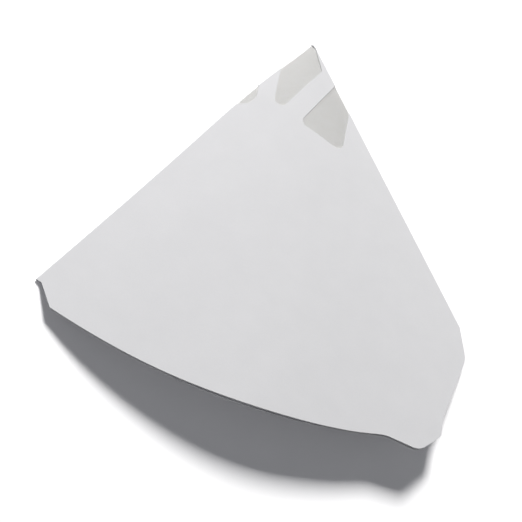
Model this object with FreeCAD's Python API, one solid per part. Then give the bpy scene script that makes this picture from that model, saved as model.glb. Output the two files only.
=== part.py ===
"""Disposable paper filter funnel, folded flat.

A sheet of paper is wrapped into a cone, glued down one side and pressed flat,
so that two panels lie on each other between a fold and a seam.
Windows are cut through both panels near the tip.
A small cone of nylon gauze, glued inside the tip, covers them.

Millimetres and degrees. The tip points to +Y and the mouth to -Y. Z is up.
"""
import FreeCAD
import Part
import math
import os

V = FreeCAD.Vector

# The paper cone
SLANT = 188.0          # tip to rim, along the paper
PANEL_ANGLE = 66.0     # angle at the tip of one panel, laid flat
FRONT_ARCH = 4.76      # rise of the upper panel's middle, as an angle seen from the tip
GAPE = 0.30            # the lower panel rises this much less, so the mouth is open
PAPER = 0.25           # thickness of the paper

# The glued seam, along the right-hand side
LAP_WIDTH = 10.0       # flap turned under the lower panel
LAP_TAPER = 30.0       # the flap narrows to nothing over this length at the tip
LAP_SHORT = 50.0       # the flap stops this far from the rim, clear of the trimmed corner

# The gauze
GAUZE = 0.12           # thickness of the mesh cloth
GAUZE_MARGIN = 3.5     # the gauze reaches this far past the windows
GAUZE_BEND = 0.04      # inner radius of the gauze where it is folded
GLUE_LINE = 0.01       # between the gauze and the paper

TIP_CUT = 0.3          # the panels and bends start this far from the true tip
BEYOND = 1.10          # and end at this many times the side, for the rim to trim them
TALL = 60.0            # half-height of the cutters
ARCS = 24              # equal arcs that make up a round cutter

# Outlines on the flat panel, each corner as (along, across, corner radius):
# along the fold from the tip, and square to the fold across the panel.
RIB_SLOPE = 0.47       # the slanted rib crosses the fold at this slope
LOWER_SHIFT = (-1.6, 1.1)   # the lower panel's windows lie this far off the upper ones
TIP_WINDOW = [
    (1.0, -3.0, 0.0),
    (24.0 - 3.0 / RIB_SLOPE, -3.0, 0.0),
    (52.0, 13.4, 2.5),
    (9.0, 12.0, 3.0),
    (1.0, 2.1, 0.3),
]
FOLD_WINDOW = [
    (40.3 - 3.0 / RIB_SLOPE, -3.0, 0.0),
    (46.9, 3.1, 2.0),
    (52.0, 3.1, 3.0),
    (61.0, -3.0, 0.0),
]

RIM_NOTCH = [
    (SLANT - 6.3, -4.0, 0.0),
    (SLANT - 6.5, 2.0, 1.2),
    (SLANT - 0.1, 11.7, 0.0),
    (SLANT + 27.0, 11.7, 0.0),
    (SLANT + 27.0, -4.0, 0.0),
]

# The same, but along the seam from the tip, and square to the seam into the panel.
SEAM_WINDOW = [
    (19.8, -5.5, 0.0),
    (38.1, 30.0, 3.0),
    (56.0, 17.0, 3.6),
    (32.0, -4.4, 0.0),
]

# Beside the seam the blank is trimmed to a nearly straight side, with a rounded ear on the rim.
# Each corner is (distance past the rim, degrees from the seam into the panel, corner radius).
EAR = [
    (-0.1, 24.2, 0.0),
    (-0.1, 21.2, 14.0),
    (5.4, 16.9, 8.0),
    (1.6, 13.9, 0.0),
    (-9.3, 15.4, 0.0),
]
TRIMMED_CORNER = [
    (11.5, 20.5, 0.0),
    (0.1, 13.1, 4.0),
    (-8.1, 11.5, 10.0),
    (-30.6, 2.4, 12.0),
    (-53.9, -2.1, 0.0),
    (27.9, -10.6, 0.0),
    (64.3, 9.7, 0.0),
]

# What the sizes above leave for the rest
BACK_ARCH = FRONT_ARCH - GAPE
LINING_ROOM = GLUE_LINE + GAUZE + GAUZE_BEND     # half of the space between the panels at a fold
LAP_END = SLANT - LAP_SHORT

# A shallow arch takes up a little of the panel's angle.
PLAN_ANGLE = PANEL_ANGLE * (1 - 8 / 3 * (FRONT_ARCH / PANEL_ANGLE) ** 2)
SPREAD = math.tan(math.radians(PLAN_ANGLE / 2))


def on_plan(along, across):
    """Place of a point of the flat upper panel, seen from above, the tip at the origin."""
    share = math.degrees(math.atan2(across, along)) / PANEL_ANGLE
    rise = math.radians(FRONT_ARCH) * 4 * share * (1 - share)
    bearing = math.radians((share - 0.5) * PLAN_ANGLE)
    reach = math.hypot(along, across) * math.cos(rise)
    return V(reach * math.sin(bearing), -reach * math.cos(bearing), 0)


def beside_seam(corners):
    """Corners measured along and from the seam, given along and from the fold."""
    lean = math.radians(PANEL_ANGLE)
    return [(along * math.cos(lean) + inwards * math.sin(lean),
             along * math.sin(lean) - inwards * math.cos(lean), radius)
            for along, inwards, radius in corners]


def beside_rim(corners):
    """Corners measured from the rim and the seam, given along and from the fold."""
    places = []
    for past, turn, radius in corners:
        bearing = math.radians(PANEL_ANGLE - turn)
        reach = SLANT + past
        places.append((reach * math.cos(bearing), reach * math.sin(bearing), radius))
    return places


def windows():
    return [TIP_WINDOW, beside_seam(SEAM_WINDOW), FOLD_WINDOW]


def gauze_reach():
    """Tip to the gauze's own edge, which clears every window corner that lies on the panel."""
    corners = sum(windows(), [])
    farthest = max(math.hypot(along, across) for along, across, _ in corners if across > 0)
    return farthest + GAUZE_MARGIN


def rounded_outline(corners):
    """Closed wire through the corners, each rounded by its own radius."""
    points = [on_plan(along, across) for along, across, _ in corners]
    count = len(points)
    stops = []
    for i in range(count):
        here = points[i]
        back = (points[i - 1] - here).normalize()
        ahead = (points[(i + 1) % count] - here).normalize()
        radius = corners[i][2]
        if radius == 0:
            stops.append((here, None, here))
            continue
        half = back.getAngle(ahead) / 2
        run = radius / math.tan(half)
        middle = (back + ahead).normalize() * (radius / math.sin(half) - radius)
        stops.append((here + back * run, here + middle, here + ahead * run))
    edges = []
    for i in range(count):
        enter, middle, leave = stops[i]
        if middle is not None:
            edges.append(Part.Arc(enter, middle, leave).toShape())
        edges.append(Part.makeLine(leave, stops[(i + 1) % count][0]))
    return Part.Wire(edges)


def shifted(corners, shift):
    """The same outline, moved along and across the panel, and kept off the tip."""
    nearest = TIP_WINDOW[0][0]
    return [(max(along + shift[0], nearest), across + shift[1], radius)
            for along, across, radius in corners]


def cutter(corners):
    """Upright prism that cuts an outline through both panels."""
    face = Part.Face(rounded_outline(corners))
    face.translate(V(0, 0, -TALL))
    return face.extrude(V(0, 0, 2 * TALL))


def disc(radius):
    """Everything within this distance of the tip, seen from above."""
    points = []
    for i in range(2 * ARCS + 1):
        turn = math.pi * i / ARCS
        points.append(V(radius * math.cos(turn), radius * math.sin(turn), -TALL))
    arcs = [Part.Arc(*points[i:i + 3]).toShape() for i in range(0, 2 * ARCS, 2)]
    return Part.Face(Part.Wire(arcs)).extrude(V(0, 0, 2 * TALL))


def wedge():
    """Upright prism between the two creases, from close to the tip to past the rim."""
    near = TIP_CUT
    far = SLANT * BEYOND
    outline = Part.makePolygon([
        V(-near * SPREAD, -near, 0),
        V(near * SPREAD, -near, 0),
        V(far * SPREAD, -far, 0),
        V(-far * SPREAD, -far, 0),
        V(-near * SPREAD, -near, 0),
    ])
    face = Part.Face(outline)
    face.translate(V(0, 0, -TALL))
    return face.extrude(V(0, 0, 2 * TALL))


def under_arch(level, arch):
    """The round cone that lies under a panel: it holds both creases and the raised middle."""
    rise = math.radians(arch)
    half = math.radians(PLAN_ANGLE / 2)
    dip = math.atan((math.cos(rise) - math.cos(half)) / math.sin(rise))
    opening = dip + rise
    length = SLANT * 1.5
    axis = V(0, -math.cos(dip), -math.sin(dip))
    return Part.makeCone(0, length * math.sin(opening), length * math.cos(opening),
                         V(0, 0, level), axis)


def panel(low, high, arch):
    """One arched panel between two heights above the creases."""
    return wedge().common(under_arch(high, arch)).cut(under_arch(low, arch))


def bend(side, inner_low, inner_high, thick):
    """Half-round turn of a sheet along one crease. side is -1 at the fold, +1 at the seam."""
    middle = (inner_low + inner_high) / 2
    inner = (inner_high - inner_low) / 2
    outer = inner + thick
    half = math.radians(PLAN_ANGLE / 2)
    crease = V(side * math.sin(half), -math.cos(half), 0)
    outward = V(side * math.cos(half), math.sin(half), 0)
    start = V(side * TIP_CUT * SPREAD, -TIP_CUT, middle)
    up = V(0, 0, 1)
    section = Part.Wire([
        Part.Arc(start + up * outer, start + outward * outer, start - up * outer).toShape(),
        Part.makeLine(start - up * outer, start - up * inner),
        Part.Arc(start - up * inner, start + outward * inner, start + up * inner).toShape(),
        Part.makeLine(start + up * inner, start + up * outer),
    ])
    length = (SLANT * BEYOND - TIP_CUT) / math.cos(half)
    return Part.Face(section).extrude(crease * length)


def from_seam(along, inwards):
    """Plan point measured along the seam from the tip and square to it, into the panel."""
    half = math.radians(PLAN_ANGLE / 2)
    return V(along * math.sin(half) - inwards * math.cos(half),
             -along * math.cos(half) - inwards * math.sin(half), 0)


def lap():
    """The glued flap under the lower panel, sunk half its thickness into it."""
    strip = panel(-LINING_ROOM - 2 * PAPER, -LINING_ROOM - PAPER / 2, BACK_ARCH)
    outline = Part.makePolygon([
        from_seam(0, -2),
        from_seam(0, 0.4),
        from_seam(LAP_TAPER, LAP_WIDTH),
        from_seam(LAP_END, LAP_WIDTH),
        from_seam(LAP_END + LAP_WIDTH, -2),
        from_seam(0, -2),
    ])
    region = Part.Face(outline)
    region.translate(V(0, 0, -TALL))
    return strip.common(region.extrude(V(0, 0, 2 * TALL)))


def past_the_rim():
    """All that lies farther from the tip than the rim, except the ear."""
    return disc(SLANT * 1.6).cut(disc(SLANT)).cut(cutter(beside_rim(EAR)))


def paper_cone():
    fold = bend(-1, -LINING_ROOM, LINING_ROOM, PAPER)
    seam = bend(1, -LINING_ROOM - PAPER, LINING_ROOM, PAPER)
    upper = panel(LINING_ROOM, LINING_ROOM + PAPER, FRONT_ARCH).fuse([fold, seam])
    lower = panel(-LINING_ROOM - PAPER, -LINING_ROOM, BACK_ARCH).fuse(lap())
    for window in windows():
        upper = upper.cut(cutter(window))
        lower = lower.cut(cutter(shifted(window, LOWER_SHIFT)))
    sheet = upper.fuse(lower)
    for tool in (past_the_rim(), cutter(beside_rim(TRIMMED_CORNER)), cutter(RIM_NOTCH)):
        sheet = sheet.cut(tool)
    return largest(sheet)


def gauze_tip():
    top = LINING_ROOM - GLUE_LINE
    upper = panel(top - GAUZE, top, FRONT_ARCH)
    lower = panel(-top, -top + GAUZE, BACK_ARCH)
    fold = bend(-1, -top + GAUZE, top - GAUZE, GAUZE)
    seam = bend(1, -top + GAUZE, top - GAUZE, GAUZE)
    cone = upper.fuse([lower, fold, seam])
    return largest(cone.common(disc(gauze_reach())))


def largest(shape):
    """The one solid that is left once offcuts are dropped."""
    return max(shape.Solids, key=lambda solid: solid.Volume)


def main():
    nodes = {"paper_cone": paper_cone(), "gauze_tip": gauze_tip()}
    box = nodes["paper_cone"].optimalBoundingBox(False)
    shift = V(-box.Center.x, -box.Center.y, -box.ZMin)
    os.makedirs("parts", exist_ok=True)
    for name, shape in nodes.items():
        shape.translate(shift)
        shape.exportStep("parts/" + name + ".step")
        print(name, shape.isValid(), round(shape.Volume, 1), shape.BoundBox)


main()
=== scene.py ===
"""Disposable paper filter funnel, folded flat: looks, lights and camera.

The paper is one flat blank, wrapped around the fold and the seam onto two shallow cones, as the
real one is. Flat places are in millimetres, (along, across): along the fold from the tip, and
square to it, + on the upper panel and - on the lower one. The scene itself is in metres.
"""
import bpy
import math
import numpy as np
from mathutils import Matrix, Vector
from mathutils.geometry import delaunay_2d_cdt

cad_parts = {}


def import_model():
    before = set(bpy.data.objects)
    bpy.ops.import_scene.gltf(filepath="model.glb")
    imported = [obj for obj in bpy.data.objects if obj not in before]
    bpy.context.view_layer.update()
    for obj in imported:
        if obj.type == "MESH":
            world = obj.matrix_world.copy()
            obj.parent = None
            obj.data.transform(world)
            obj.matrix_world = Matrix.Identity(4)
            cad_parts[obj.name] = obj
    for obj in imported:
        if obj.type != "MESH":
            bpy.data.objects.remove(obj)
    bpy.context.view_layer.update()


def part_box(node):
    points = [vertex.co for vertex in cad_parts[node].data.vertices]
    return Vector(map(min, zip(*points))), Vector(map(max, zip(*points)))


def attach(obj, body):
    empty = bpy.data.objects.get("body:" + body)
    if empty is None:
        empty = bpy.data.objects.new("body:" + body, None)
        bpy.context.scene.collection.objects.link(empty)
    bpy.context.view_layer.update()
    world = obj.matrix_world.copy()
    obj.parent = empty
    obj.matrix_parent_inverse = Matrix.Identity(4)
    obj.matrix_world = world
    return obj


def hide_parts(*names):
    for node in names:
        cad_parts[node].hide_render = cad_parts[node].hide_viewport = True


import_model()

MM = 0.001


# The folded paper, as the frame has it
SLANT = 188.0
PANEL_ANGLE = math.radians(66.0)
FRONT_ARCH = math.radians(4.76)
BACK_ARCH = math.radians(4.46)
PAPER = 0.25
LINING_ROOM = 0.17
LAP_WIDTH = 10.0
LAP_TAPER = 30.0
LAP_END = 138.0
GAUZE = 0.12
GAUZE_SHOWN = 0.06         # the woven sheet is thinner than the room it is given
GAUZE_REACH = 62.02
GLUE_LINE = 0.01
PLAN_ANGLE = PANEL_ANGLE * (1 - 8 / 3 * (FRONT_ARCH / PANEL_ANGLE) ** 2)

# Mid-surfaces: height above and below the creases, and radius of the bend at the seam
PAPER_LEVEL = LINING_ROOM + PAPER / 2
SEAM_BEND = LINING_ROOM + PAPER
GAUZE_LEVEL = LINING_ROOM - GLUE_LINE - GAUZE / 2

# Outlines on a flat panel: each corner as (along, across, corner radius)
RIB_SLOPE = 0.47
LOWER_SHIFT = (-1.6, 1.1)   # the lower panel's windows lie this far off the upper ones
TIP_WINDOW = [
    (1.0, -3.0, 0.0),
    (24.0 - 3.0 / RIB_SLOPE, -3.0, 0.0),
    (52.0, 13.4, 2.5),
    (9.0, 12.0, 3.0),
    (1.0, 2.1, 0.3),
]
FOLD_WINDOW = [
    (40.3 - 3.0 / RIB_SLOPE, -3.0, 0.0),
    (46.9, 3.1, 2.0),
    (52.0, 3.1, 3.0),
    (61.0, -3.0, 0.0),
]
RIM_NOTCH = [(SLANT - 0.4, 11.3, 0.0), (SLANT - 6.5, 2.0, 1.2), (SLANT - 6.4, 0.0, 0.0)]

# The same, but along the seam from the tip, and square to the seam into the panel
SEAM_WINDOW = [
    (19.8, -5.5, 0.0),
    (38.1, 30.0, 3.0),
    (56.0, 17.0, 3.6),
    (32.0, -4.4, 0.0),
]

# The trimmed side and the ear: distance past the rim, degrees from the seam, corner radius
SIDE_AND_EAR = [
    (-53.9, -2.1, 0.0),
    (-30.6, 2.4, 12.0),
    (-8.1, 11.5, 10.0),
    (0.1, 13.1, 4.0),
    (5.4, 16.9, 8.0),
    (-0.1, 21.2, 14.0),
    (-0.1, 24.2, 0.0),
]

GRID = 2.4             # spacing of the mesh inside the outline
STEP = 1.1             # spacing of points along an outline
CLEARANCE = 0.55 * GRID    # kept free of inner points beside a line
BEND_STEPS = 8         # facets around a bend
ON_LINE = 1e-6         # a point this near a line lies on it
SAME_POINT = 1e-4      # points nearer than this are one

# How far from the true tip the blanks and their bends start, and where the paper's bends end
PAPER_START = 0.6
GAUZE_START = 0.5
GAUZE_FLAP_START = 0.9
BEND_START = 0.8
BEND_END = SLANT - 2.0


# ---- where the tip is -------------------------------------------------------------------

def tip_place():
    """The gauze is cut on a circle about the tip, and both its bends are alike."""
    low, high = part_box("gauze_tip")
    return Vector(((low[0] + high[0]) / 2, low[1] + GAUZE_REACH * MM,
                   low[2] + (LINING_ROOM - GLUE_LINE) * MM))


TIP = tip_place()


# ---- flat outlines ----------------------------------------------------------------------

def rounded(corners, closed=False):
    """Points along straight runs joined by round corners of each corner's own radius."""
    spots = [np.array(c[:2]) for c in corners]
    count = len(spots)
    line = []
    for i in range(count):
        here, radius = spots[i], corners[i][2]
        if radius == 0:
            line.append(here)
            continue
        back = spots[i - 1] - here
        ahead = spots[(i + 1) % count] - here
        back /= np.linalg.norm(back)
        ahead /= np.linalg.norm(ahead)
        half = math.acos(np.clip(back @ ahead, -1, 1)) / 2
        middle = here + (back + ahead) / np.linalg.norm(back + ahead) * radius / math.sin(half)
        start = here + back * radius / math.tan(half) - middle
        end = here + ahead * radius / math.tan(half) - middle
        turns = max(3, math.ceil((math.pi - 2 * half) * radius / (STEP / 2)))
        for k in range(turns + 1):
            mix = start * (1 - k / turns) + end * (k / turns)
            line.append(middle + mix / np.linalg.norm(mix) * radius)
    if closed:
        line.append(line[0])
    return spaced(line)


def spaced(line):
    """The same line with points no more than a step apart."""
    out = [line[0]]
    for a, b in zip(line, line[1:]):
        pieces = max(1, math.ceil(np.linalg.norm(b - a) / STEP))
        out += [a + (b - a) * k / pieces for k in range(1, pieces + 1)]
    return np.array(out)


def polar(radius, turn):
    return np.array([radius * math.cos(turn), radius * math.sin(turn)])


def arc(radius, start, end):
    count = max(4, math.ceil(abs(end - start) * radius / STEP))
    return np.array([polar(radius, start + (end - start) * k / count) for k in range(count + 1)])


def beside_seam(corners):
    """Corners measured along and from the seam, given along and from the fold."""
    along, inwards = polar(1.0, PANEL_ANGLE), polar(1.0, PANEL_ANGLE - math.pi / 2)
    return [(*(a * along + b * inwards), radius) for a, b, radius in corners]


def beside_rim(corners):
    """Corners measured from the rim and the seam, given along and from the fold."""
    return [(*polar(SLANT + past, PANEL_ANGLE - math.radians(turn)), radius)
            for past, turn, radius in corners]


def seam_hit(p, q):
    """Where the line through two points meets the seam."""
    seam = polar(1.0, PANEL_ANGLE)
    run = np.array(q) - np.array(p)
    share = np.linalg.solve(np.array([seam, -run]).T, np.array(p))
    return seam * share[0]


def past_seam(along, beyond):
    """Flat point measured along the seam from the tip and beyond it, on the glued flap."""
    return polar(1.0, PANEL_ANGLE) * along + polar(1.0, PANEL_ANGLE + math.pi / 2) * beyond


def on_blank(line, level, lower=False):
    """Panel places as places on the blank, whose fold takes up a strip of its own."""
    line = np.asarray(line) + np.array([0, math.pi / 2 * level])
    return line * np.array([1, -1]) if lower else line


def clipped(outline, normal):
    """The part of a closed outline on the side of a line through the tip that normal points to."""
    side = outline @ normal
    out = []
    for i in range(len(outline)):
        j = (i + 1) % len(outline)
        if side[i] >= 0:
            out.append(outline[i])
        if (side[i] < 0) != (side[j] < 0):
            share = side[i] / (side[i] - side[j])
            out.append(outline[i] + (outline[j] - outline[i]) * share)
    return np.array(out)


def on_panel(outline):
    """The part of a closed outline between the fold and the seam."""
    before_seam = polar(1.0, PANEL_ANGLE - math.pi / 2)
    return clipped(clipped(outline, np.array([0.0, 1.0])), before_seam)


def closed(line):
    return spaced(np.vstack([line, line[:1]]))


def panel_rim():
    """Edge of the upper panel from the seam to the fold."""
    corner = beside_rim(SIDE_AND_EAR)
    hit = seam_hit(corner[0][:2], corner[1][:2])
    corner[0] = (hit[0], hit[1], 0.0)
    trimmed = rounded(corner)
    notch = rounded(RIM_NOTCH)
    start = math.atan2(trimmed[-1][1], trimmed[-1][0])
    end = math.atan2(notch[0][1], notch[0][0])
    return np.vstack([trimmed, arc(SLANT, start, end)[1:-1], notch])


def paper_outline():
    rim = panel_rim()
    wrap = math.pi * SEAM_BEND
    flap = spaced([
        past_seam(PAPER_START, 0.0),
        past_seam(LAP_TAPER, LAP_WIDTH + wrap),
        past_seam(LAP_END, LAP_WIDTH + wrap),
        rim[0],
    ])
    lower_edge = spaced([rim[0], past_seam(PAPER_START, 0.0), polar(PAPER_START, 0.0)])
    upper = on_blank(np.vstack([flap[:-1], rim]), PAPER_LEVEL)
    lower = on_blank(np.vstack([rim[::-1], lower_edge[1:]]), PAPER_LEVEL, lower=True)
    return closed(np.vstack([upper, lower]))


def seam_strip(outline, wrap):
    """Piece of the seam's bend that an outline ending at the seam takes with it."""
    down = outline @ polar(1.0, PANEL_ANGLE)
    at_seam = down[np.abs(outline @ polar(1.0, PANEL_ANGLE - math.pi / 2)) < ON_LINE]
    low, high = at_seam.min(), at_seam.max()
    return np.array([past_seam(low, 0), past_seam(high, 0),
                     past_seam(high, wrap), past_seam(low, wrap)])


def fold_strip(outline, level):
    """Piece of the fold's bend that an outline ending at the fold takes with it."""
    at_fold = outline[np.abs(outline[:, 1]) < ON_LINE][:, 0]
    low, high, half = at_fold.min(), at_fold.max(), math.pi / 2 * level
    return np.array([(low, -half), (high, -half), (high, half), (low, half)])


def turned_under(outline, wrap):
    """The outline mirrored at the seam and past its bend, as it lies on the flap."""
    down = outline @ polar(1.0, PANEL_ANGLE)
    inward = outline @ polar(1.0, PANEL_ANGLE - math.pi / 2)
    return np.array([past_seam(d, i + wrap) for d, i in zip(down, inward)])


def window_outlines():
    """Closed outlines of every hole in the flat blank."""
    holes = []
    wrap = math.pi * SEAM_BEND
    nearest = TIP_WINDOW[0][0]
    windows = ((TIP_WINDOW, False), (beside_seam(SEAM_WINDOW), True), (FOLD_WINDOW, False))
    for corners, at_seam in windows:
        moved = [(max(along + LOWER_SHIFT[0], nearest), across + LOWER_SHIFT[1], radius)
                 for along, across, radius in corners]
        upper = on_panel(rounded(corners, closed=True)[:-1])
        lower = on_panel(rounded(moved, closed=True)[:-1])
        holes += [on_blank(upper, PAPER_LEVEL), on_blank(lower, PAPER_LEVEL, lower=True)]
        if at_seam:
            holes.append(on_blank(seam_strip(upper, wrap), PAPER_LEVEL))
            holes.append(on_blank(turned_under(lower, wrap), PAPER_LEVEL))
        else:
            holes.append(fold_strip(upper, PAPER_LEVEL))
    return [closed(hole) for hole in holes]


def gauze_outline():
    wrap = math.pi * GAUZE_LEVEL
    rim = arc(GAUZE_REACH, PANEL_ANGLE, 0.0)
    flap = [
        past_seam(GAUZE_START, 0.0),
        past_seam(GAUZE_FLAP_START, wrap),
        past_seam(GAUZE_REACH, wrap),
    ]
    upper = on_blank(np.vstack([spaced(flap + [rim[0]])[:-1], rim]), GAUZE_LEVEL)
    lower_edge = spaced([rim[0], past_seam(GAUZE_START, 0.0), polar(GAUZE_START, 0.0)])
    lower = on_blank(np.vstack([rim[::-1], lower_edge[1:]]), GAUZE_LEVEL, lower=True)
    return closed(np.vstack([upper, lower]))


# ---- the flat blank as a mesh -----------------------------------------------------------

def inside(points, outline):
    """Which points a closed outline holds."""
    found = np.zeros(len(points), bool)
    x, y = points[:, 0], points[:, 1]
    for (ax, ay), (bx, by) in zip(outline, np.roll(outline, -1, axis=0)):
        if ay == by:
            continue
        crossing = (ay > y) != (by > y)
        found ^= crossing & (x < (bx - ax) * (y - ay) / (by - ay) + ax)
    return found


def near(points, line, distance):
    """Which points lie within a distance of a line of close points."""
    close = np.zeros(len(points), bool)
    for spot in line:
        close |= ((points - spot) ** 2).sum(axis=1) < distance ** 2
    return close


def bend_lines(level, seam_bend, reach):
    """Lines along the fold and the seam, close enough to make the bends round."""
    lines = []
    for k in range(-BEND_STEPS // 2, BEND_STEPS // 2 + 1):
        across = math.pi * level * k / BEND_STEPS
        lines.append(spaced([np.array([BEND_START, across]), np.array([reach, across])])[::2])
    for k in range(BEND_STEPS + 1):
        beyond = math.pi * seam_bend * k / BEND_STEPS
        line = spaced([past_seam(BEND_START, beyond), past_seam(reach, beyond)])[::2]
        lines.append(on_blank(line, level))
    return lines


def flat_mesh(outline, holes, lines):
    """Triangles over the outline, less the holes, with the given lines as edges."""
    low, high = outline.min(axis=0), outline.max(axis=0)
    xs = np.arange(low[0], high[0], GRID)
    ys = np.arange(low[1], high[1], GRID)
    grid = np.array([(x + (GRID / 2 if j % 2 else 0), y) for j, y in enumerate(ys) for x in xs])
    grid = grid[inside(grid, outline)]
    for hole in holes:
        grid = grid[~inside(grid, hole)]
    for line in [outline] + holes + lines:
        grid = grid[~near(grid, line, CLEARANCE)]
    points, edges = [], []
    for line in [outline] + holes + lines:
        first = len(points)
        points += [Vector(p) for p in line]
        edges += [(first + i, first + i + 1) for i in range(len(line) - 1)]
    points += [Vector(p) for p in grid]
    verts, _, faces, _, _, _ = delaunay_2d_cdt(points, edges, [], 0, SAME_POINT, True)
    flat = np.array([tuple(v) for v in verts])
    faces = np.array(faces)
    middles = flat[faces].mean(axis=1)
    kept = inside(middles, outline)
    for hole in holes:
        kept &= ~inside(middles, hole)
    faces = faces[kept]
    used = np.unique(faces)
    renumber = np.full(len(flat), -1)
    renumber[used] = np.arange(len(used))
    return flat[used], renumber[faces]


# ---- from flat to folded ----------------------------------------------------------------

WELD = 1e-7            # metres: joins the walls to the sheet's two sides
SHARP = math.radians(60)
PANELS = {
    "Panel angle": PANEL_ANGLE,
    "Folded angle": PLAN_ANGLE,
    "Front arch": FRONT_ARCH,
    "Back arch": BACK_ARCH,
    "Side": SLANT * MM,
    "Wave": 0.35 * MM,       # height of the paper's slight waves
    "Bow": 1.7 * MM,         # the fold springs out this far
    "Bow place": 50.0 * MM,  # where it is widest, from the tip
    "Bow width": 10.0 * MM,  # how far into the panels it reaches
}

# Waves: radians turned from the fold to the seam, then the start or what is added tip to rim
BROAD_WAVE = (5.3 * math.pi, 0.6)
FINE_WAVE = (13.0, 9.0)
UNDER_WAVE = (3.7 * math.pi, 2.0)
FINE_HEIGHT = 0.34         # of the broad wave's
UNDER_HEIGHT = 0.57
BOW_SHARPNESS = 2.5


class Field:
    """A number at every point of a sheet. Arithmetic on it adds the nodes that work it out."""

    def __init__(self, tree, socket):
        self.tree, self.socket = tree, socket

    def step(self, operation, *others):
        node = self.tree.nodes.new("ShaderNodeMath")
        node.operation = operation
        for socket, value in zip(node.inputs, (self, *others)):
            if isinstance(value, Field):
                self.tree.links.new(value.socket, socket)
            else:
                socket.default_value = value
        return Field(self.tree, node.outputs[0])

    def __add__(self, other):
        return self.step("ADD", other)

    def __sub__(self, other):
        return self.step("SUBTRACT", other)

    def __mul__(self, other):
        return self.step("MULTIPLY", other)

    def __truediv__(self, other):
        return self.step("DIVIDE", other)

    def __pow__(self, other):
        return self.step("POWER", other)

    def __lt__(self, other):
        return self.step("LESS_THAN", other)

    def __gt__(self, other):
        return self.step("GREATER_THAN", other)

    def __neg__(self):
        return self * -1.0

    def __abs__(self):
        return self.step("ABSOLUTE")

    def sin(self):
        return self.step("SINE")

    def cos(self):
        return self.step("COSINE")

    def hypot(self, other):
        return (self * self + other * other).step("SQRT")

    def atan2(self, along):
        return self.step("ARCTAN2", along)

    def at_least(self, other):
        return self.step("MAXIMUM", other)

    def at_most(self, other):
        return self.step("MINIMUM", other)


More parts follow.
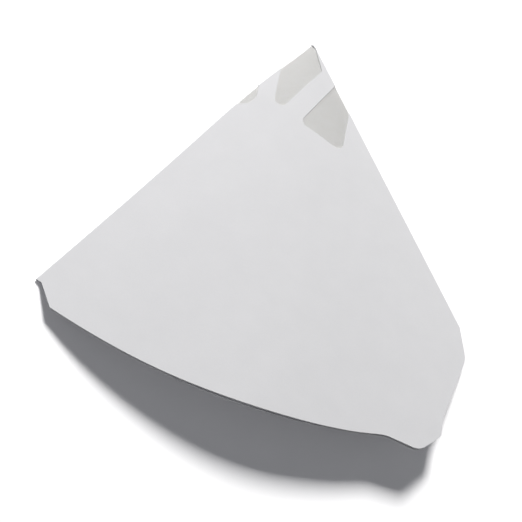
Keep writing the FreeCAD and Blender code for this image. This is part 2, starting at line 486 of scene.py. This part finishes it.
class FoldingTree:
    """Nodes that wrap a flat blank around the fold and the seam and give it its thickness."""

    ANGLES = ("Panel angle", "Folded angle", "Front arch", "Back arch")
    LENGTHS = ("Side", "Thickness", "Fold bend", "Seam bend", "Seam middle", "Flap level",
               "Wave", "Bow", "Bow place", "Bow width")

    def __init__(self):
        self.tree = bpy.data.node_groups.new("fold_and_thicken", "GeometryNodeTree")
        sockets = self.tree.interface
        sockets.new_socket("Folded sheet", in_out="OUTPUT", socket_type="NodeSocketGeometry")
        sockets.new_socket("Blank", in_out="INPUT", socket_type="NodeSocketGeometry")
        for name in self.ANGLES + self.LENGTHS:
            sockets.new_socket(name, in_out="INPUT", socket_type="NodeSocketFloat")
        sockets.new_socket("Tip", in_out="INPUT", socket_type="NodeSocketVector")
        for name in ("Sheet finish", "Edge finish"):
            sockets.new_socket(name, in_out="INPUT", socket_type="NodeSocketMaterial")
        self.given = self.tree.nodes.new("NodeGroupInput").outputs
        self.size = {name: Field(self.tree, self.given[name])
                     for name in self.ANGLES + self.LENGTHS}

    def add(self, kind, *values, **settings):
        """A node with its settings, and its first inputs linked or set."""
        node = self.tree.nodes.new(kind)
        for key, value in settings.items():
            setattr(node, key, value)
        for socket, value in zip(node.inputs, values):
            if isinstance(value, Field):
                self.tree.links.new(value.socket, socket)
            elif isinstance(value, bpy.types.NodeSocket):
                self.tree.links.new(value, socket)
            elif value is not None:
                socket.default_value = value
        return node

    def vector(self, x, y, z):
        return self.add("ShaderNodeCombineXYZ", x, y, z).outputs[0]

    def either(self, choice, yes, no):
        return self.add("GeometryNodeSwitch", choice, no, yes, input_type="VECTOR").outputs[0]

    def scaled(self, vector, factor):
        node = self.add("ShaderNodeVectorMath", vector, operation="SCALE")
        self.tree.links.new(factor.socket, node.inputs["Scale"])
        return node.outputs[0]

    def moved(self, geometry, offset, chosen=None):
        return self.add("GeometryNodeSetPosition", geometry, chosen, None, offset).outputs[0]

    def kept(self, geometry, vector):
        """The vector as it is now at each point, kept through later steps."""
        node = self.add("GeometryNodeCaptureAttribute", geometry)
        node.capture_items.new("VECTOR", "kept")
        self.tree.links.new(vector, node.inputs[1])
        return node.outputs[0], node.outputs[1]

    def on_arch(self, reach, turn, level, arch):
        """Place on an arched panel: a round cone through both creases, its apex raised by level."""
        half = self.size["Folded angle"] / 2
        dip = ((arch.cos() - half.cos()) / arch.sin()).step("ARCTANGENT")
        opening = dip + arch
        widest = (half.cos() * dip.sin() / opening.sin()).step("ARCCOSINE")
        swing = (turn / self.size["Panel angle"] * 2 - 1) * widest
        forward, side = opening.cos(), opening.sin()
        x = swing.sin() * side
        y = -(dip.cos() * forward + dip.sin() * swing.cos() * side)
        z = dip.cos() * swing.cos() * side - dip.sin() * forward
        return self.vector(x * reach, y * reach, z * reach + level)

    def on_bend(self, side, along, outward, height):
        """Place around a crease. side is -1 at the fold and +1 at the seam."""
        half = self.size["Folded angle"] / 2
        x = (along * half.sin() + outward * half.cos()) * side
        y = outward * half.sin() - along * half.cos()
        return self.vector(x, y, height)

    def wrapped(self, along, across):
        """Place of each point of the blank once it is folded, from the tip."""
        size = self.size
        fold_bend, seam_bend, panel = size["Fold bend"], size["Seam bend"], size["Panel angle"]
        quarter = fold_bend * (math.pi / 2)
        inner = (abs(across) - quarter).at_least(0.0)
        reach = along.hypot(inner)
        turn = inner.atan2(along)
        held = turn.at_most(panel)
        lower = across < 0.0
        place = self.either(lower, self.on_arch(reach, held, -fold_bend, size["Back arch"]),
                            self.on_arch(reach, held, fold_bend, size["Front arch"]))
        angle = across / fold_bend
        fold = self.on_bend(-1.0, along, angle.cos() * fold_bend, angle.sin() * fold_bend)
        place = self.either(abs(across) < quarter, fold, place)

        past = turn - panel
        down, beyond = past.cos() * reach, past.sin() * reach
        angle = beyond / seam_bend
        seam = self.on_bend(1.0, down, angle.sin() * seam_bend,
                            angle.cos() * seam_bend + size["Seam middle"])
        inward = (beyond - seam_bend * math.pi).at_least(0.0)
        flap = self.on_arch(down.hypot(inward), panel - inward.atan2(down), size["Flap level"],
                            size["Back arch"])
        turned = self.either(angle < math.pi, seam, flap)
        return self.either((turn > panel) * (across > 0.0), turned, place)

    def waves(self, along, across):
        """Slight waves in the upper and lower panels, none at the creases."""
        share = abs(across).atan2(along) / self.size["Panel angle"]
        out = along.hypot(across) / self.size["Side"]
        hold = (share.at_least(0.0).at_most(1.0) * math.pi).sin() * out.at_most(1.0) ** 2
        broad = (share * BROAD_WAVE[0] + BROAD_WAVE[1]).sin()
        fine = (share * FINE_WAVE[0] + out * FINE_WAVE[1]).sin()
        under = (share * UNDER_WAVE[0] + UNDER_WAVE[1]).sin()
        upper = across > 0.0
        height = (broad + fine * FINE_HEIGHT) * upper + under * UNDER_HEIGHT * (across < 0.0)
        return self.vector(0.0, 0.0, height * hold * self.size["Wave"])

    def bow(self, along, across):
        """Sideways push on the fold, which springs open a little where the windows weaken it."""
        share = along.at_least(0.0) / self.size["Bow place"]
        spread = across / self.size["Bow width"]
        swell = (share * (-share + 1.0).step("EXPONENT")) ** BOW_SHARPNESS
        push = swell * (-(spread * spread)).step("EXPONENT") * self.size["Bow"]
        half = self.size["Folded angle"] / 2
        return self.vector(-(push * half.cos()), push * half.sin(), 0.0)

    def build(self):
        add = self.add
        sheet, flat = self.kept(self.given["Blank"], add("GeometryNodeInputPosition").outputs[0])
        parts = add("ShaderNodeSeparateXYZ", flat).outputs
        along, across = Field(self.tree, parts[0]), Field(self.tree, parts[1])
        folded = add("GeometryNodeSetPosition", sheet, None, self.wrapped(along, across))
        sheet = folded.outputs[0]
        for offset in (self.waves(along, across), self.bow(along, across), self.given["Tip"]):
            sheet = self.moved(sheet, offset)

        sheet, outward = self.kept(sheet, add("GeometryNodeInputNormal").outputs[0])
        top = self.moved(sheet, self.scaled(outward, self.size["Thickness"] * 0.5))
        walls = add("GeometryNodeExtrudeMesh", top, mode="FACES")
        walls.inputs["Offset Scale"].default_value = 0.0
        walls.inputs["Individual"].default_value = False
        body = self.moved(walls.outputs["Mesh"], self.scaled(outward, -self.size["Thickness"]),
                          walls.outputs["Top"])
        body = add("GeometryNodeFlipFaces", body).outputs[0]
        joined = add("GeometryNodeJoinGeometry")
        for part in (top, body):
            self.tree.links.new(part, joined.inputs[0])
        whole = add("GeometryNodeMergeByDistance", joined.outputs[0])
        whole.inputs["Distance"].default_value = WELD

        store = add("GeometryNodeStoreNamedAttribute", whole.outputs[0],
                    data_type="FLOAT2", domain="CORNER")
        store.inputs["Name"].default_value = "flat"
        self.tree.links.new(flat, store.inputs["Value"])
        smooth = add("GeometryNodeSetShadeSmooth", store.outputs[0], domain="FACE")
        bend = Field(self.tree, add("GeometryNodeInputMeshEdgeAngle").outputs[0])
        crisp = add("GeometryNodeSetShadeSmooth", smooth.outputs[0], bend > SHARP, False,
                    domain="EDGE")
        real = add("GeometryNodeRealizeInstances", crisp.outputs[0])
        finish = add("GeometryNodeSetMaterial", real.outputs[0], None, self.given["Sheet finish"])
        edges = add("GeometryNodeSetMaterial", finish.outputs[0], walls.outputs["Side"],
                    self.given["Edge finish"])
        add("NodeGroupOutput", edges.outputs[0])
        return self.tree


FOLDING = FoldingTree().build()


def folded_piece(name, blank, sizes, sheet_finish, edge_finish):
    """The blank run through the folding nodes, as a plain mesh."""
    flat, faces = blank
    mesh = bpy.data.meshes.new("blank")
    places = [(along * MM, across * MM, 0.0) for along, across in flat]
    mesh.from_pydata(places, [], faces.tolist())
    mesh.materials.append(sheet_finish)
    piece = bpy.data.objects.new(name, mesh)
    bpy.context.scene.collection.objects.link(piece)
    folding = piece.modifiers.new("folding", "NODES")
    folding.node_group = FOLDING
    given = {**PANELS, **{key: size * MM for key, size in sizes.items()}, "Tip": TIP,
             "Sheet finish": sheet_finish, "Edge finish": edge_finish}
    for socket in FOLDING.interface.items_tree:
        if socket.name in given:
            folding[socket.identifier] = given[socket.name]
    depsgraph = bpy.context.evaluated_depsgraph_get()
    solid = bpy.data.meshes.new_from_object(piece.evaluated_get(depsgraph),
                                            preserve_all_data_layers=True, depsgraph=depsgraph)
    piece.modifiers.clear()
    piece.data = solid
    solid.name = name
    bpy.data.meshes.remove(mesh)
    return piece


def paper_sheet(paper, cut_edge_painted_light):
    bends = bend_lines(PAPER_LEVEL, SEAM_BEND, BEND_END)
    blank = flat_mesh(paper_outline(), window_outlines(), bends)
    sizes = {
        "Thickness": PAPER,
        "Fold bend": PAPER_LEVEL,
        "Seam bend": SEAM_BEND,
        "Seam middle": -PAPER / 2,
        "Flap level": -LINING_ROOM - 1.5 * PAPER,
    }
    piece = folded_piece("paper_sheet", blank, sizes, paper, cut_edge_painted_light)
    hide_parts("paper_cone")
    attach(piece, "root")
    return piece


def gauze_lining(nylon):
    bends = bend_lines(GAUZE_LEVEL, GAUZE_LEVEL, GAUZE_REACH)
    blank = flat_mesh(gauze_outline(), [], bends)
    sizes = {
        "Thickness": GAUZE_SHOWN,
        "Fold bend": GAUZE_LEVEL,
        "Seam bend": GAUZE_LEVEL,
        "Seam middle": 0.0,
        "Flap level": -GAUZE_LEVEL,
    }
    piece = folded_piece("gauze_lining", blank, sizes, nylon, nylon)
    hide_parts("gauze_tip")
    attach(piece, "root")
    return piece


# ---- materials --------------------------------------------------------------------------

class Nodes:
    """Short calls for building a material."""

    def __init__(self, name):
        self.material = bpy.data.materials.new(name)
        self.material.use_nodes = True
        self.tree = self.material.node_tree
        self.tree.nodes.clear()

    def add(self, kind, **settings):
        node = self.tree.nodes.new(kind)
        for key, value in settings.items():
            setattr(node, key, value)
        return node

    def link(self, source, target):
        self.tree.links.new(source, target)

    def math(self, operation, a, b=0.0, clamp=False):
        node = self.add("ShaderNodeMath", operation=operation, use_clamp=clamp)
        for socket, value in zip(node.inputs, (a, b)):
            if hasattr(value, "links"):
                self.link(value, socket)
            else:
                socket.default_value = value
        return node.outputs[0]

    def noise(self, vector, scale, detail=3.0, roughness=0.5, stretch=(1, 1, 1)):
        mapping = self.add("ShaderNodeMapping")
        mapping.inputs["Scale"].default_value = stretch
        self.link(vector, mapping.inputs["Vector"])
        node = self.add("ShaderNodeTexNoise")
        node.inputs["Scale"].default_value = scale
        node.inputs["Detail"].default_value = detail
        node.inputs["Roughness"].default_value = roughness
        self.link(mapping.outputs[0], node.inputs["Vector"])
        return node.outputs["Fac"]

    def ramp(self, value, low, high, color_low, color_high):
        node = self.add("ShaderNodeValToRGB")
        node.color_ramp.elements[0].position = low
        node.color_ramp.elements[1].position = high
        node.color_ramp.elements[0].color = (*color_low, 1)
        node.color_ramp.elements[1].color = (*color_high, 1)
        self.link(value, node.inputs[0])
        return node.outputs[0]

    def mix(self, factor, a, b):
        node = self.add("ShaderNodeMix", data_type="RGBA")
        for socket, value in ((node.inputs[0], factor), (node.inputs[6], a), (node.inputs[7], b)):
            if hasattr(value, "links"):
                self.link(value, socket)
            elif isinstance(value, tuple):
                socket.default_value = (*value, 1)
            else:
                socket.default_value = value
        return node.outputs[2]

    def finish(self, shader):
        output = self.add("ShaderNodeOutputMaterial")
        self.link(shader, output.inputs["Surface"])
        return self.material


def distance_from_line(n, uv, angle):
    """Distance in the flat blank from a line through the tip, in metres."""
    split = n.add("ShaderNodeSeparateXYZ")
    n.link(uv, split.inputs[0])
    along = n.math("MULTIPLY", split.outputs[0], -math.sin(angle))
    across = n.math("MULTIPLY", split.outputs[1], math.cos(angle))
    return n.math("ABSOLUTE", n.math("ADD", along, across))


# Paper: noise scales, per metre, and depths and reaches, in metres
CLOUD_SCALE = 90
SPECK_SCALE = 1500
FIBRE_SCALES = (1400, 1300)
CREASE_REACH = 0.0011
FIBRE_DEPTH = 0.00006
CLOUD_DEPTH = 0.0004
SCATTER_DEPTH = 0.0008


def paper_material(name, bright, dark, fibres, scatter=0.0):
    """Bleached paper: cloudy formation, fine fibres, pressed creases."""
    n = Nodes(name)
    uv = n.add("ShaderNodeUVMap", uv_map="flat").outputs[0]
    place = n.add("ShaderNodeTexCoord").outputs["Object"]
    cloud = n.noise(place, CLOUD_SCALE, 4, 0.55)
    speck = n.noise(place, SPECK_SCALE, 2, 0.6)
    fibre_a = n.noise(uv, FIBRE_SCALES[0], 2, 0.5, (1, 7, 1))
    fibre_b = n.noise(uv, FIBRE_SCALES[1], 2, 0.5, (6, 1, 1))
    fibre = n.math("MAXIMUM", fibre_a, fibre_b)
    tone = n.math("ADD", n.math("MULTIPLY", cloud, 0.6), n.math("MULTIPLY", speck, 0.4))
    color = n.ramp(tone, 0.35, 0.65, dark, bright)
    color = n.mix(n.ramp(fibre, 0.62, 0.78, (0, 0, 0), (0.35, 0.35, 0.35)), color, bright)

    crease = n.math("MINIMUM", distance_from_line(n, uv, 0.0),
                    distance_from_line(n, uv, PANEL_ANGLE))
    pressed = n.math("SUBTRACT", 1.0, n.math("DIVIDE", crease, CREASE_REACH), clamp=True)
    frayed = n.math("MULTIPLY", pressed, n.math("MULTIPLY", speck, 0.8))
    color = n.mix(frayed, color, tuple(min(1.0, c * 1.05) for c in bright))

    height = n.math("ADD", n.math("MULTIPLY", fibre, 0.6), n.math("MULTIPLY", speck, 0.5))
    bump = n.add("ShaderNodeBump")
    bump.inputs["Strength"].default_value = fibres
    bump.inputs["Distance"].default_value = FIBRE_DEPTH
    n.link(height, bump.inputs["Height"])
    slow = n.add("ShaderNodeBump")
    slow.inputs["Strength"].default_value = 0.12
    slow.inputs["Distance"].default_value = CLOUD_DEPTH
    n.link(cloud, slow.inputs["Height"])
    n.link(bump.outputs[0], slow.inputs["Normal"])

    paint = n.add("ShaderNodeBsdfPrincipled")
    n.link(color, paint.inputs["Base Color"])
    n.link(n.math("ADD", 0.62, n.math("MULTIPLY", speck, 0.25)), paint.inputs["Roughness"])
    paint.inputs["Specular IOR Level"].default_value = 0.3
    n.link(slow.outputs[0], paint.inputs["Normal"])
    paint.inputs["Subsurface Weight"].default_value = scatter
    paint.inputs["Subsurface Radius"].default_value = (1, 1, 1)
    paint.inputs["Subsurface Scale"].default_value = SCATTER_DEPTH
    return n.finish(paint.outputs[0])


MESH_PITCH = 0.00036   # of the gauze's threads
THREAD_SHARE = 0.54    # thread width over pitch
THREAD_DEPTH = 0.00005
WEAVE_DIP = 0.4        # how much lower a thread lies where the other crosses over it
THREAD_EDGE = 0.02     # a thread's profile starts here; below it is a clear hole


def gauze_material():
    """Plain-woven nylon: threads both ways, clear holes between them."""
    n = Nodes("nylon_gauze")
    uv = n.add("ShaderNodeUVMap", uv_map="flat").outputs[0]
    split = n.add("ShaderNodeSeparateXYZ")
    n.link(uv, split.inputs[0])
    cells = [n.math("DIVIDE", split.outputs[i], MESH_PITCH) for i in (0, 1)]
    threads = []
    for i in (0, 1):
        middle = n.math("ABSOLUTE", n.math("SUBTRACT", n.math("FRACT", cells[i]), 0.5))
        share = n.math("DIVIDE", middle, THREAD_SHARE / 2)
        threads.append(n.math("SUBTRACT", 1.0, share, clamp=True))
    crossing = n.math("ADD", n.math("FLOOR", cells[0]), n.math("FLOOR", cells[1]))
    over = n.math("ABSOLUTE", n.math("MODULO", crossing, 2.0))
    first = n.math("SQRT", threads[0])
    second = n.math("SQRT", threads[1])
    dip = n.math("MULTIPLY", over, WEAVE_DIP)
    first_height = n.math("MULTIPLY", first, n.math("ADD", 1 - WEAVE_DIP, dip))
    second_height = n.math("MULTIPLY", second, n.math("SUBTRACT", 1.0, dip))
    woven = n.math("ADD", first_height, second_height)
    solid = n.math("GREATER_THAN", n.math("MAXIMUM", first, second), THREAD_EDGE)

    shade = n.noise(n.add("ShaderNodeTexCoord").outputs["Object"], 300, 2)
    color = n.ramp(shade, 0.3, 0.7, (0.94, 0.94, 0.925), (0.97, 0.97, 0.96))
    bump = n.add("ShaderNodeBump")
    bump.inputs["Strength"].default_value = 0.6
    bump.inputs["Distance"].default_value = THREAD_DEPTH
    n.link(woven, bump.inputs["Height"])
    nylon = n.add("ShaderNodeBsdfPrincipled")
    n.link(color, nylon.inputs["Base Color"])
    nylon.inputs["Roughness"].default_value = 0.38
    n.link(bump.outputs[0], nylon.inputs["Normal"])
    glow = n.add("ShaderNodeBsdfTranslucent")
    n.link(color, glow.inputs["Color"])
    thread = n.add("ShaderNodeMixShader")
    thread.inputs[0].default_value = 0.3
    n.link(nylon.outputs[0], thread.inputs[1])
    n.link(glow.outputs[0], thread.inputs[2])
    clear = n.add("ShaderNodeBsdfTransparent")
    both = n.add("ShaderNodeMixShader")
    n.link(solid, both.inputs[0])
    n.link(clear.outputs[0], both.inputs[1])
    n.link(thread.outputs[0], both.inputs[2])
    return n.finish(both.outputs[0])


SHADOW_ROOM = 0.20     # the floor shows shadows this near, and is plain white past FLOOR_WHITE
FLOOR_WHITE = 0.40


def floor_material():
    """White table: the camera sees it as plain white, apart from the shadow near the funnel."""
    n = Nodes("white_floor")
    place = n.add("ShaderNodeTexCoord").outputs["Object"]
    mottle = n.noise(place, 12, 2)
    plain = n.add("ShaderNodeBsdfDiffuse")
    n.link(n.ramp(mottle, 0.3, 0.7, (0.80, 0.80, 0.80), (0.82, 0.82, 0.82)), plain.inputs[0])
    seen = n.add("ShaderNodeBsdfDiffuse")
    seen.inputs[0].default_value = (1.45, 1.45, 1.46, 1)
    away = n.add("ShaderNodeVectorMath", operation="LENGTH")
    n.link(place, away.inputs[0])
    far = n.add("ShaderNodeMapRange")
    far.inputs["From Min"].default_value = SHADOW_ROOM
    far.inputs["From Max"].default_value = FLOOR_WHITE
    n.link(away.outputs["Value"], far.inputs["Value"])
    white = n.add("ShaderNodeEmission")
    shown = n.add("ShaderNodeMixShader")
    n.link(far.outputs[0], shown.inputs[0])
    n.link(seen.outputs[0], shown.inputs[1])
    n.link(white.outputs[0], shown.inputs[2])
    path = n.add("ShaderNodeLightPath")
    both = n.add("ShaderNodeMixShader")
    n.link(path.outputs["Is Camera Ray"], both.inputs[0])
    n.link(plain.outputs[0], both.inputs[1])
    n.link(shown.outputs[0], both.inputs[2])
    return n.finish(both.outputs[0])


# ---- stage ------------------------------------------------------------------------------

FLOOR_HALF = 3.0


def floor():
    mesh = bpy.data.meshes.new("floor")
    corners = [(x * FLOOR_HALF, y * FLOOR_HALF, 0) for x, y in ((-1, -1), (1, -1), (1, 1), (-1, 1))]
    mesh.from_pydata(corners, [], [(0, 1, 2, 3)])
    mesh.materials.append(floor_material())
    obj = bpy.data.objects.new("floor", mesh)
    bpy.context.scene.collection.objects.link(obj)


def area_light(name, azimuth, elevation, distance, size, power, color=(1, 1, 1)):
    """A soft lamp aimed at the middle of the object. Azimuth 0 is on the +Y side."""
    light = bpy.data.lights.new(name, "AREA")
    light.size = size
    light.energy = power
    light.color = color
    turn, rise = math.radians(azimuth), math.radians(elevation)
    way = Vector((math.sin(turn) * math.cos(rise), math.cos(turn) * math.cos(rise), math.sin(rise)))
    obj = bpy.data.objects.new(name, light)
    obj.location = way * distance
    obj.rotation_euler = way.to_track_quat("Z", "Y").to_euler()
    bpy.context.scene.collection.objects.link(obj)


def world(color, strength):
    """Faint light from all around. The camera sees it as white."""
    sky = bpy.data.worlds.new("studio")
    sky.use_nodes = True
    nodes, links = sky.node_tree.nodes, sky.node_tree.links
    around = nodes["Background"]
    around.inputs[0].default_value = (*color, 1)
    around.inputs[1].default_value = strength
    white = nodes.new("ShaderNodeBackground")
    white.inputs[0].default_value = (1, 1, 1, 1)
    both = nodes.new("ShaderNodeMixShader")
    links.new(nodes.new("ShaderNodeLightPath").outputs["Is Camera Ray"], both.inputs[0])
    links.new(around.outputs[0], both.inputs[1])
    links.new(white.outputs[0], both.inputs[2])
    links.new(both.outputs[0], nodes["World Output"].inputs["Surface"])
    bpy.context.scene.world = sky


# The camera: metres from the tip, and degrees turned, tilted down and rolled
CAMERA_FROM_TIP = Vector((-153.0, -359.6, 383.5)) * MM
CAMERA_YAW = 30.02
CAMERA_DOWN = 53.93
CAMERA_ROLL = 41.92
LENS = 82.76


def camera():
    """Looks down on the funnel from beyond the rim, turned about its own axis."""
    data = bpy.data.cameras.new("camera")
    data.lens = LENS
    data.sensor_width = 36.0
    data.clip_start = 0.01
    obj = bpy.data.objects.new("camera", data)
    yaw, down = math.radians(CAMERA_YAW), math.radians(CAMERA_DOWN)
    flat = math.cos(down)
    forward = Vector((math.sin(yaw) * flat, math.cos(yaw) * flat, -math.sin(down)))
    level = Vector((math.cos(yaw), -math.sin(yaw), 0))
    above = level.cross(forward)
    roll = math.radians(CAMERA_ROLL)
    right = level * math.cos(roll) + above * math.sin(roll)
    up = above * math.cos(roll) - level * math.sin(roll)
    turn = Matrix((right, up, -forward)).transposed().to_4x4()
    obj.matrix_world = Matrix.Translation(TIP + CAMERA_FROM_TIP) @ turn
    bpy.context.scene.collection.objects.link(obj)
    bpy.context.scene.camera = obj


def main():
    paper = paper_material("bleached_paper", bright=(0.800, 0.802, 0.817),
                           dark=(0.775, 0.778, 0.793), fibres=0.5)
    # The cut edges are a lighter copy of the paper: painted light for the light glowing out of the
    # cut edges, on top of their real subsurface scatter
    cut = paper_material("cut_edge_painted_light", bright=(0.97, 0.97, 0.97), dark=(0.90, 0.90, 0.89),
                         fibres=0.9, scatter=1.0)
    paper_sheet(paper, cut)
    gauze_lining(gauze_material())
    floor()
    area_light("key", azimuth=1, elevation=42, distance=2.2, size=0.6, power=51.0,
               color=(1.0, 0.99, 0.98))
    area_light("fill", azimuth=-112, elevation=13, distance=1.8, size=1.0, power=4.0,
               color=(0.95, 0.94, 1.0))
    world((0.93, 0.95, 1.0), 0.115)
    bpy.context.scene.view_settings.view_transform = "Standard"
    camera()


main()
